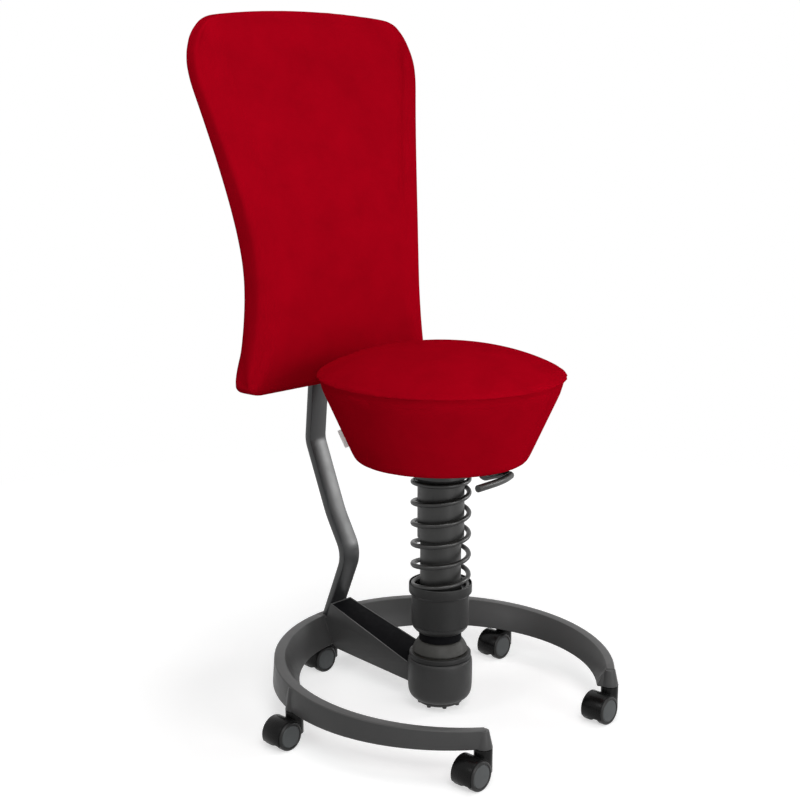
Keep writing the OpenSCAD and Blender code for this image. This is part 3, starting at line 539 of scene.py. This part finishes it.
class STOOL_OT_finishes(bpy.types.Operator):
    """Makes the stool's materials and gives them to the pieces that stay from the frame"""

    bl_idname = "stool.finishes"
    bl_label = "Finishes"

    def execute(self, context):
        colours = context.scene.stool_colours
        finishes["cloth"] = cloth_material("Red brushed cloth", tuple(colours.cloth))
        finishes["tag"] = cloth_material("Pale woven tape", tuple(colours.tag))
        # The castings get painted light: their faces turned up are made paler.
        finishes["casting"] = painted_material(
            "Painted casting", tuple(colours.casting), 0.4, specular=0.2, painted_top_light=0.8
        )
        finishes["bar"] = painted_material(
            "Painted flat bar", tuple(colours.bar), 0.34, depth=0.00001
        )
        finishes["column"] = painted_material(
            "Painted tube", tuple(colours.column), 0.42, depth=0.00002
        )
        finishes["spring"] = painted_material("Painted spring wire", tuple(colours.column), 0.34)
        finishes["cup"] = moulded_material("Moulded cup", tuple(colours.cup), 0.46, 0.25)
        finishes["housing"] = painted_material(
            "Painted housing", tuple(colours.housing), 0.46, specular=0.25
        )
        finishes["inlay"] = moulded_material("Dark inlay", tuple(colours.inlay), 0.8, 0.05)
        finishes["rubber"] = rubber_material("Rubber dome", tuple(colours.rubber))
        finishes["hood"] = moulded_material(
            "Glossy hood", tuple(colours.hood), 0.26, 0.14, 1500, 0.00001
        )
        finishes["tyre"] = moulded_material("Castor tyre", tuple(colours.tyre), 0.4, 0.3)
        finishes["wheel"] = moulded_material("Castor wheel", tuple(colours.wheel), 0.46)
        finishes["steel"] = steel_material("Drawn steel", tuple(colours.steel))
        finishes["lift"] = steel_material("Dark lift steel", srgb(96, 96, 98), 0.25)
        finishes["wood"] = wood_material("Raw plywood")
        finishes["shell"] = moulded_material("Back shell plastic", srgb(28, 28, 29), 0.6)
        finishes["bush"] = moulded_material("Slide plastic", srgb(30, 30, 30), 0.5)
        paint_node(finishes["steel"], "pivot_post", "cap_screws", "castor_sockets", "bracket_bolts",
                   "plate_screws", "lever_pin", "seat_plate", "thrust_ring")
        paint_node(finishes["steel"], *[f"castor_{i}_axle" for i in CASTORS])
        paint_node(finishes["bush"], "sleeve_bush", "lift_bush")
        paint_node(finishes["rubber"], "rubber_core")
        paint_node(finishes["lift"], "gas_cylinder", "lift_rod", "valve_button")
        paint_node(finishes["wood"], "seat_board")
        paint_node(finishes["shell"], "seat_shell", "back_shell")
        paint_node(finishes["inlay"], "strut_foot")
        paint_node(finishes["column"], "lever_yoke", "back_bracket")
        return {"FINISHED"}


# Ring, arm and bar


class STOOL_OT_base_ring(bpy.types.Operator):
    """Finishes the cast ring's two halves and the rear section with its arm and inlay"""

    bl_idname = "stool.base_ring"
    bl_label = "Base ring and arm"

    def execute(self, context):
        edge = context.scene.stool_sizes.edge
        for node in ("ring_left", "ring_right", "support_arm"):
            piece = merged_copy(node, node + "_cast")
            softened(piece, edge)
            dress(piece, finishes["casting"], "base", "cast_frame", node)
        inlay = merged_copy("arm_cover", "arm_inlay")
        softened(inlay, edge * 0.6)
        dress(inlay, finishes["inlay"], "base", "cover_plastic", "arm_cover")
        return {"FINISHED"}


class STOOL_OT_back_bar(bpy.types.Operator):
    """Finishes the bent flat bar behind the backrest"""

    bl_idname = "stool.back_bar"
    bl_label = "Backrest bar"

    def execute(self, context):
        bar = merged_copy("back_bar", "back_bar_flat")
        smooth(bar, 30)
        dress(bar, finishes["bar"], "base", "bar_paint", "back_bar")
        return {"FINISHED"}


# Column

PIVOT_Z = 96.0  # height of the ball's centre, in mm
# Outer wall of the housing, as (radius, height) in mm
HOUSING = [(0, 21), (43, 21), (46.2, 21.8), (49.4, 24), (52.6, 27.4), (54.9, 31.8), (56.2, 37),
           (56.9, 45), (57.2, 54), (57.3, 65), (57.3, 79), (57.1, 88), (56.5, 92.6), (55.3, 95.6),
           (53.6, 96.5)]


def bowl(radius, low, high, steps):
    """Points on the joint's ball between two heights, in mm, from low to high."""
    out = []
    for k in range(steps + 1):
        z = low + (high - low) * k / steps
        out.append((math.sqrt(max(0, radius**2 - (z - PIVOT_Z) ** 2)), z))
    return out


class STOOL_OT_sway_joint(bpy.types.Operator):
    """Turns the housing, its retaining ring and the rubber dome, and finishes the cap below"""

    bl_idname = "stool.sway_joint"
    bl_label = "Sway joint"

    def execute(self, context):
        edge = context.scene.stool_sizes.edge
        inner = list(reversed(bowl(51.7, 62, 96.5, 10)))
        housing = turned("housing_casting", HOUSING + inner + [(0, 62)])
        softened(housing, edge, 40)
        dress(housing, finishes["housing"], "base", "housing_plastic", "housing")
        ring_profile = [(53.2, 96.6), (53.6, 98.1), (54.7, 98.7), (54.7, 104.6), (54.3, 105.6),
                        (53.4, 106.3)]
        ring = turned("joint_ring", ring_profile + list(reversed(bowl(51.75, 96.6, 106.3, 3))))
        smooth(ring, 40)
        dress(ring, finishes["cup"], "base", "housing_plastic", "retaining_ring")
        groove = [(45.4, 107.1), (44.6, 110.3)]
        dome = turned("joint_dome", bowl(51.3, 76, 106.7, 13) + groove + bowl(51.3, 110.7, 129.0, 9)
                      + [(37.6, 129.9), (28.1, 129.9), (28.1, 76)])
        smooth(dome, 40)
        dress(dome, finishes["rubber"], "column", "joint_rubber", "sway_dome")
        cap = merged_copy("base_cap", "joint_cap")
        softened(cap, edge * 0.6)
        dress(cap, finishes["housing"], "base", "cover_plastic", "base_cap")
        return {"FINISHED"}


class STOOL_OT_tubes(bpy.types.Operator):
    """Turns the column's lower and upper tubes and the spring's upper flange"""

    bl_idname = "stool.tubes"
    bl_label = "Column tubes"

    def execute(self, context):
        lower = turned("tube_lower", [
            (36, 152.5), (36, 355.4), (35.4, 356), (32.5, 356), (32.5, 152.5)])
        smooth(lower)
        dress(lower, finishes["column"], "column", "column_paint", "lower_tube")
        upper = turned("tube_upper", [
            (38.5, 317), (40.4, 317), (41, 317.6), (41, 427.8), (38.5, 427.8)])
        smooth(upper)
        dress(upper, finishes["column"], "upper", "column_paint", "upper_tube")
        flange = turned("flange_upper", [
            (24.05, 420), (38.4, 420), (38.4, 428), (49.7, 428), (50.5, 428.8), (50.5, 438.2),
            (50.1, 439.4), (49, 440), (24.05, 440)])
        smooth(flange)
        dress(flange, finishes["column"], "upper", "column_paint", "spring_flange")
        return {"FINISHED"}


class STOOL_OT_tension_cup(bpy.types.Operator):
    """Turns the tension cup with its lip and grooved foot"""

    bl_idname = "stool.tension_cup"
    bl_label = "Tension cup"

    def execute(self, context):
        cup = turned("cup_turned", [
            (37.55, 145), (40, 145), (44.5, 148.5), (48.4, 153), (50.0, 156.4), (50.6, 158.2),
            (49.9, 158.8), (49.9, 160.0), (50.8, 160.6),
            (50.8, 212.5), (51.4, 213.6), (54.0, 215.6), (55.1, 216.8), (55.6, 218.6),
            (55.6, 231.8), (55.2, 233.3), (54.6, 234), (54.2, 234), (53.9, 233.2),
            (53.9, 216.7), (37.55, 216.7)])
        smooth(cup, 28)
        dress(cup, finishes["cup"], "cup", "cup_plastic", "tension_cup")
        return {"FINISHED"}


class STOOL_OT_spring(bpy.types.Operator):
    """Winds the coil spring with its nearly closed end turns"""

    bl_idname = "stool.spring"
    bl_label = "Coil spring"

    def execute(self, context):
        wire = context.scene.stool_sizes.wire
        turns, dead, dead_pitch, radius, start = 6.8, 0.86, 4.8, 48.9, -176.3
        low, high = 225.6, 423.3
        pitch = (high - low - 2 * dead * dead_pitch) / (turns - 2 * dead)
        path = []
        steps_per_turn = 48
        for k in range(int(turns * steps_per_turn) + 1):
            t = min(turns, k / steps_per_turn)
            if t < dead:
                z = low + dead_pitch * t
            elif t < turns - dead:
                z = low + dead_pitch * dead + pitch * (t - dead)
            else:
                z = high - dead_pitch * (turns - t)
            angle = math.radians(start) + math.tau * t
            path.append([radius * math.cos(angle) * MM, radius * math.sin(angle) * MM, z * MM])
        # Three running means over five points ease the changes of pitch
        for _ in range(3):
            heights = [p[2] for p in path]
            for k in range(2, len(path) - 2):
                path[k][2] = sum(heights[k - 2:k + 3]) / 5
        spring = swept("spring_wound", path, wire / 2)
        smooth(spring, 50)
        dress(spring, finishes["spring"], "spring_foot", "spring_paint", "coil_spring")
        return {"FINISHED"}


# Seat and lever


def span(piece):
    """Lowest and highest corner of a mesh's points."""
    points = [v.co for v in piece.data.vertices]
    return [[pick_end(p[axis] for p in points) for axis in range(3)] for pick_end in (min, max)]


# Limits of the points that arched() lifts, in metres
ARCH_SLACK = 0.0001  # below the arch's two ends
CREST_BAND = 0.0005  # below the top, where the upper end's depth is read
FRONT_MARGIN, REAR_MARGIN = 0.0008, 0.0012  # inside the rim's front and rear edges
CAP_DEPTH = 0.012  # below the top, the lowest point that is lifted


def arched(piece, rise):
    """Lifts the points inside a grid-built pad's upper end to the arch of its rim."""
    top = span(piece)[1][2]
    points = [v.co for v in piece.data.vertices]
    reach = max(abs(p.x) for p in points if p.z > top - rise - ARCH_SLACK)
    depth = [p.y for p in points if p.z > top - CREST_BAND]
    near, far = min(depth) + FRONT_MARGIN, max(depth) - REAR_MARGIN
    for p in points:
        if near < p.y < far and abs(p.x) < reach and p.z > top - CAP_DEPTH:
            p.z = top - rise * (p.x / reach) ** 2


def puffed(piece, swell, pinned, pressure=4.0, frames=20, splits=0, rise=0.0):
    """Inflates a pad as cloth, keeps each point within its swell and fits it to the solid's box.

    The solid's own grid of faces is split where splits is set, or else a new mesh is laid over it.
    """
    first_low, first_high = span(piece)
    if splits:
        edit_all(piece)
        flat = math.radians(60)
        bpy.ops.mesh.tris_convert_to_quads(face_threshold=flat, shape_threshold=flat)
        bpy.ops.object.mode_set(mode="OBJECT")
        apply_modifier(piece, "SUBSURF", "Split", subdivision_type="SIMPLE", levels=splits)
        arched(piece, rise)
    else:
        voxel = bpy.context.scene.stool_sizes.voxel
        apply_modifier(
            piece, "REMESH", "Remesh", mode="VOXEL", voxel_size=voxel, use_smooth_shade=True
        )
    apply_modifier(piece, "SMOOTH", "Relax", factor=0.5, iterations=8)
    rest = [v.co.copy() for v in piece.data.vertices]
    group = piece.vertex_groups.new(name="held")
    group.add([v.index for v in piece.data.vertices if pinned(v.co)], 1.0, "REPLACE")
    pick(piece)
    cloth = piece.modifiers.new("Cloth", "CLOTH")
    settings = cloth.settings
    settings.quality = 5
    settings.mass = 0.3
    settings.tension_stiffness = 20
    settings.compression_stiffness = 20
    settings.shear_stiffness = 8
    settings.bending_stiffness = 0.6
    settings.use_pressure = True
    settings.uniform_pressure_force = pressure
    settings.vertex_group_mass = "held"
    settings.effector_weights.gravity = 0
    cloth.collision_settings.use_collision = False
    scene = bpy.context.scene
    for number in range(1, frames + 1):
        scene.frame_set(number)
    bpy.ops.object.modifier_apply(modifier="Cloth")
    for vertex, before in zip(piece.data.vertices, rest):
        move = vertex.co - before
        if move.length > swell:
            vertex.co = before + move * (swell / move.length)
    piece.vertex_groups.clear()
    scene.frame_set(1)
    apply_modifier(piece, "SMOOTH", "Settle", factor=0.5, iterations=7)
    apply_modifier(piece, "SUBSURF", "Finish", levels=1, render_levels=1)
    low, high = span(piece)
    for vertex in piece.data.vertices:
        vertex.co = [
            first_low[axis]
            + (vertex.co[axis] - low[axis]) * (first_high[axis] - first_low[axis])
            / (high[axis] - low[axis])
            for axis in range(3)
        ]


def move_points(piece, shift):
    """Moves each point of a mesh by what shift(place, normal) returns."""
    normals = [v.normal.copy() for v in piece.data.vertices]
    for vertex, normal in zip(piece.data.vertices, normals):
        vertex.co += shift(vertex.co.copy(), normal)
    piece.data.update()


TAG_TURN = math.radians(133)  # the tag and the skirt's seam, counted from +X
CUSHION_HELD = 0.0045  # depth of the cushion's base that isn't inflated, in metres
CUSHION_CLEAR = 0.0002  # least height of the cushion over its box's floor, in metres
# Outer wall of the skirt's solid: radius at a height, both in metres, and slope
SKIRT_LOW_R, SKIRT_LOW_Z, SKIRT_SLOPE = 0.147, 0.464, 0.4449
SKIRT_SKIN = 0.008  # depth of the wall's outer part that may swell, in metres
SKIRT_SWELL = 0.6  # share of the pad swell


class STOOL_OT_seat_pad(bpy.types.Operator):
    """Inflates the seat's cushion and skirt and adds the side seam, the rim's seam and the tag"""

    bl_idname = "stool.seat_pad"
    bl_label = "Seat cushion and skirt"

    def execute(self, context):
        sizes = context.scene.stool_sizes
        cushion = merged_copy("seat_cushion", "seat_cushion_pad")
        low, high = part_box("seat_cushion")
        puffed(cushion, sizes.pad_swell, lambda p: p.z < low.z + CUSHION_HELD)
        move_points(cushion, lambda p, n: Vector((0, 0, max(0, low.z + CUSHION_CLEAR - p.z))))
        smooth(cushion, 60)
        dress(cushion, finishes["cloth"], "seat", "cover_fabric", "seat_cushion")

        skirt = merged_copy("seat_skirt", "seat_skirt_pad")
        s_low, s_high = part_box("seat_skirt")

        def inner(p):
            wall = SKIRT_LOW_R + (p.z - SKIRT_LOW_Z) * SKIRT_SLOPE
            return math.hypot(p.x, p.y) < wall - SKIRT_SKIN

        puffed(skirt, sizes.pad_swell * SKIRT_SWELL, inner)

        def sew(p, n):
            turn = math.atan2(p.y, p.x) - TAG_TURN
            away = abs(math.sin(turn)) * math.hypot(p.x, p.y) if math.cos(turn) > 0 else 1
            depth = sizes.seam_depth * math.exp(-(away / sizes.seam_width) ** 2)
            return -n * depth if n.x * p.x + n.y * p.y > 0 else Vector((0, 0, 0))

        move_points(skirt, sew)
        smooth(skirt, 60)
        dress(skirt, finishes["cloth"], "seat", "cover_fabric", "seat_skirt")

        rim = turned("rim_seam", [
            (199, 586), (203.4, 585.4), (204.9, 587.6), (205.9, 590.6), (206.6, 593.6),
            (207.4, 596.4), (208.6, 599.2), (210.1, 601.8), (211.5, 604.2), (212.2, 605.6),
            (212.1, 606.6), (210.9, 607), (207, 607.2), (199, 607.2)])
        smooth(rim, 60)
        dress(rim, finishes["cloth"], "seat", "cover_fabric")

        tag = merged_copy("seat_tag", "blank_tag")
        softened(tag, 0.0002)
        dress(tag, finishes["tag"], "seat", "tag_cloth", "seat_tag")
        return {"FINISHED"}


def corner_points(before, corner, after, radius, steps):
    """Points of the arc that rounds a corner of a path, in mm."""
    a, p, b = Vector(before), Vector(corner), Vector(after)
    u, w = (a - p).normalized(), (b - p).normalized()
    half = u.angle(w) / 2
    centre = p + (u + w).normalized() * radius / math.sin(half)
    first = p + u * radius / math.tan(half) - centre
    last = p + w * radius / math.tan(half) - centre
    turn = first.angle(last)
    out = []
    for k in range(steps + 1):
        share = k / steps
        mixed = first * math.sin((1 - share) * turn) + last * math.sin(share * turn)
        out.append(centre + mixed / math.sin(turn))
    return out


class STOOL_OT_lever(bpy.types.Operator):
    """Bends the release lever's rod with its hooked grip"""

    bl_idname = "stool.lever"
    bl_label = "Release lever"

    def execute(self, context):
        pin_y, pin_z, grip_z = -28, 580, 443
        rod_radius, end_bevel = 0.00625, 0.0016
        path = [(0, pin_y - 9, pin_z), (0, -90, pin_z), (-4, -94, grip_z - 3),
                (43, -101, grip_z - 3), (41, -122.5, grip_z - 1), (-3, -141, grip_z + 1),
                (-71, -143, grip_z + 1)]
        bends = [14, 12, 10, 10, 170]
        line = [Vector(path[0])]
        for k in range(1, 6):
            line += corner_points(path[k - 1], path[k], path[k + 1], bends[k - 1], 10)
        line.append(Vector(path[6]))
        lever = swept("lever_bent", [p * MM for p in line], rod_radius, 20)
        apply_modifier(lever, "BEVEL", "End", width=end_bevel, segments=3, limit_method="ANGLE",
                       angle_limit=math.radians(60))
        smooth(lever, 50)
        dress(lever, finishes["column"], "lever", "lever_paint", "lever_rod")
        return {"FINISHED"}


# Backrest

# Bands at the pad's two ends that its simulation holds still, in metres
LOW_BAND, TOP_BAND = 0.016, 0.024
BACK_SWELL = 0.7  # share of the pad swell
BACK_SPLITS = 2  # times that the solid's grid is split
BACK_ARCH = 0.009  # rise of the upper edge's middle over its corners, in metres


class STOOL_OT_back_pad(bpy.types.Operator):
    """Inflates the backrest's pad between its two held ends"""

    bl_idname = "stool.back_pad"
    bl_label = "Backrest pad"

    def execute(self, context):
        sizes = context.scene.stool_sizes
        pad = merged_copy("back_pad", "back_pad_cover")
        low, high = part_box("back_pad")
        puffed(
            pad,
            sizes.pad_swell * BACK_SWELL,
            lambda p: not low.z + LOW_BAND < p.z < high.z - TOP_BAND,
            splits=BACK_SPLITS,
            rise=BACK_ARCH,
        )
        smooth(pad, 60)
        dress(pad, finishes["cloth"], "base", "cover_fabric", "back_pad")
        return {"FINISHED"}


# Castors

WHEEL_STEPS = 64
HOOD_EDGE = 0.0006  # bevel on a hood's edges, in metres


class STOOL_OT_castors(bpy.types.Operator):
    """Turns the castor wheels and finishes the hoods"""

    bl_idname = "stool.castors"
    bl_label = "Castors"

    def execute(self, context):
        tread = [(4.05, 9.5), (22.5, 9.5), (24, 9.8), (25, 10.8), (25, 19.6), (24.7, 20.7),
                 (24.0, 21.8), (22.6, 22.6), (21.2, 22.9), (20.2, 22.7), (19.7, 22.1),
                 (19.3, 21.7), (4.05, 19.1)]
        disc = [(19.2, 21.6), (18.8, 22.0), (18.2, 22.5), (15, 22.8), (8, 23.05), (0, 23.15),
                (0, 19.1), (4.0, 19.1)]
        for i in CASTORS:
            low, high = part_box(f"castor_{i}_axle")
            centre = (low + high) / 2
            for name in ("front", "back"):
                node = f"castor_{i}_wheel_{name}"
                n_low, n_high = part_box(node)
                direction = 1 if (n_low.y + n_high.y) / 2 > centre.y else -1
                outward, across = (0, direction, 0), (0, 0, 1)
                wheel = turned(node + "_turned", tread, centre, outward, across, WHEEL_STEPS)
                smooth(wheel, 30)
                dress(wheel, finishes["tyre"], f"castor_{i}_{name}", "wheel_plastic", node)
                cover = turned(node + "_disc", disc, centre, outward, across, WHEEL_STEPS)
                smooth(cover, 30)
                dress(cover, finishes["wheel"], f"castor_{i}_{name}", "wheel_plastic", node)
            hood = merged_copy(f"castor_{i}_hood", f"castor_{i}_hood_moulded")
            softened(hood, HOOD_EDGE)
            dress(hood, finishes["hood"], f"castor_{i}", "hood_plastic", f"castor_{i}_hood")
        return {"FINISHED"}


# Stage

CAMERA_PLACE = (-1.871, -1.663, 1.0994)
CAMERA_VIEW = (0.71189, 0.66988, -0.2107)
# Distances from the column's axis between which the floor turns plain white, in metres
FLOOR_NEAR, FLOOR_FAR = 0.45, 1.9


class STOOL_OT_stage(bpy.types.Operator):
    """Sets the floor, the soft lamps and the camera"""

    bl_idname = "stool.stage"
    bl_label = "Floor, lamps and camera"

    def execute(self, context):
        stage = context.scene.stool_stage
        scene = context.scene
        nothing_selected()
        bpy.ops.mesh.primitive_plane_add(size=30, location=(0, 0, 0))
        floor = bpy.context.active_object
        floor.name = "floor"
        floor.data.materials.append(self.pale_floor())

        world = bpy.data.worlds.new("Pale room")
        scene.world = world
        world.use_nodes = True
        tree = world.node_tree
        tree.nodes.clear()
        seen = seen_directly(tree)
        room = add_node(tree, "ShaderNodeBackground", Color=(1, 1, 1, 1), Strength=0.06)
        white = add_node(tree, "ShaderNodeBackground", Color=(1, 1, 1, 1), Strength=1.0)
        mix = tree.nodes.new("ShaderNodeMixShader")
        out = tree.nodes.new("ShaderNodeOutputWorld")
        tree.links.new(seen, mix.inputs["Fac"])
        tree.links.new(room.outputs[0], mix.inputs[1])
        tree.links.new(white.outputs[0], mix.inputs[2])
        tree.links.new(mix.outputs[0], out.inputs["Surface"])

        # Name, place, target, width in metres, power and beam in degrees
        self.lamp("key", (-1.6, -1.9, 2.4), (0, 0.1, 0.6), 1.5, stage.key_power)
        self.lamp("fill", (-0.1, -2.7, 0.8), (0, 0.1, 0.6), 1.3, stage.fill_power)
        self.lamp("top", (0.1, -0.3, 3.0), (0, 0, 0.3), 2.2, stage.top_power)
        self.lamp("edge", (1.7, -1.0, 1.0), (0.02, 0.25, 0.5), 1.1, stage.edge_power, 40)
        self.lamp("band", (-1.8, 0.35, 1.9), (-0.2, 0.33, 0.95), 0.8, stage.band_power, 60)

        data = bpy.data.cameras.new("camera")
        camera = bpy.data.objects.new("camera", data)
        scene.collection.objects.link(camera)
        data.sensor_width = 36
        data.lens = stage.lens
        data.clip_end = 60
        camera.location = CAMERA_PLACE
        camera.rotation_mode = "QUATERNION"
        camera.rotation_quaternion = Vector(CAMERA_VIEW).to_track_quat("-Z", "Y")
        scene.camera = camera
        scene.view_settings.view_transform = "Standard"
        return {"FINISHED"}

    def lamp(self, name, place, target, size, power, spread=180):
        """Adds a round area lamp that faces its target."""
        data = bpy.data.lights.new(name, "AREA")
        data.shape = "DISK"
        data.size = size
        data.energy = power
        data.spread = math.radians(spread)
        lamp = bpy.data.objects.new(name, data)
        bpy.context.scene.collection.objects.link(lamp)
        lamp.location = place
        lamp.rotation_mode = "QUATERNION"
        lamp.rotation_quaternion = (Vector(target) - Vector(place)).to_track_quat("-Z", "Y")

    def pale_floor(self):
        """Matt floor that keeps the shadow near the stool and turns plain white further out."""
        material, tree, shader = new_material("Pale floor")
        shader.inputs["Base Color"].default_value = (0.9, 0.9, 0.9, 1)
        shader.inputs["Specular IOR Level"].default_value = 0.1
        place = object_coordinates(tree)
        tree.links.new(
            value_range(tree, noise_texture(tree, place, 3, 2), 0.78, 0.86),
            shader.inputs["Roughness"],
        )
        reach = tree.nodes.new("ShaderNodeVectorMath")
        reach.operation = "LENGTH"
        tree.links.new(place, reach.inputs[0])
        share = value_range(tree, reach.outputs["Value"], 0.3, 1.0, FLOOR_NEAR, FLOOR_FAR)
        glow = value_range(tree, reach.outputs["Value"], 1.95, 1.0, FLOOR_NEAR, FLOOR_FAR)
        seen = tree.nodes.new("ShaderNodeMath")
        seen.operation = "MULTIPLY"
        tree.links.new(seen_directly(tree), seen.inputs[0])
        tree.links.new(share, seen.inputs[1])
        white = add_node(tree, "ShaderNodeEmission", Color=(1, 1, 1, 1))
        tree.links.new(glow, white.inputs["Strength"])
        mix = tree.nodes.new("ShaderNodeMixShader")
        out = tree.nodes["Material Output"]
        tree.links.new(seen.outputs[0], mix.inputs["Fac"])
        tree.links.new(shader.outputs[0], mix.inputs[1])
        tree.links.new(white.outputs[0], mix.inputs[2])
        tree.links.new(mix.outputs[0], out.inputs["Surface"])
        return material


OPERATORS = (
    STOOL_OT_finishes,
    STOOL_OT_base_ring,
    STOOL_OT_back_bar,
    STOOL_OT_sway_joint,
    STOOL_OT_tubes,
    STOOL_OT_tension_cup,
    STOOL_OT_spring,
    STOOL_OT_seat_pad,
    STOOL_OT_lever,
    STOOL_OT_back_pad,
    STOOL_OT_castors,
    STOOL_OT_stage,
)


class STOOL_PT_panel(bpy.types.Panel):
    """Lists the stool's sizes, colours and pieces"""

    bl_idname = "STOOL_PT_panel"
    bl_label = "Balance Stool"
    bl_space_type = "VIEW_3D"
    bl_region_type = "UI"
    bl_category = "Stool"

    def draw(self, context):
        layout = self.layout
        scene = context.scene
        for group in (scene.stool_colours, scene.stool_sizes, scene.stool_stage):
            box = layout.box()
            for name in group.__annotations__:
                box.prop(group, name)
        column = layout.column(align=True)
        for operator in OPERATORS:
            column.operator(operator.bl_idname)


CLASSES = (StoolColours, StoolSizes, StoolStage, *OPERATORS, STOOL_PT_panel)


def register():
    for cls in CLASSES:
        bpy.utils.register_class(cls)
    bpy.types.Scene.stool_colours = PointerProperty(type=StoolColours)
    bpy.types.Scene.stool_sizes = PointerProperty(type=StoolSizes)
    bpy.types.Scene.stool_stage = PointerProperty(type=StoolStage)


def unregister():
    del bpy.types.Scene.stool_stage
    del bpy.types.Scene.stool_sizes
    del bpy.types.Scene.stool_colours
    for cls in reversed(CLASSES):
        bpy.utils.unregister_class(cls)


def main():
    register()
    bpy.ops.stool.finishes()
    bpy.ops.stool.base_ring()
    bpy.ops.stool.back_bar()
    bpy.ops.stool.sway_joint()
    bpy.ops.stool.tubes()
    bpy.ops.stool.tension_cup()
    bpy.ops.stool.spring()
    bpy.ops.stool.seat_pad()
    bpy.ops.stool.lever()
    bpy.ops.stool.back_pad()
    bpy.ops.stool.castors()
    bpy.ops.stool.stage()


if __name__ == "__main__":
    main()
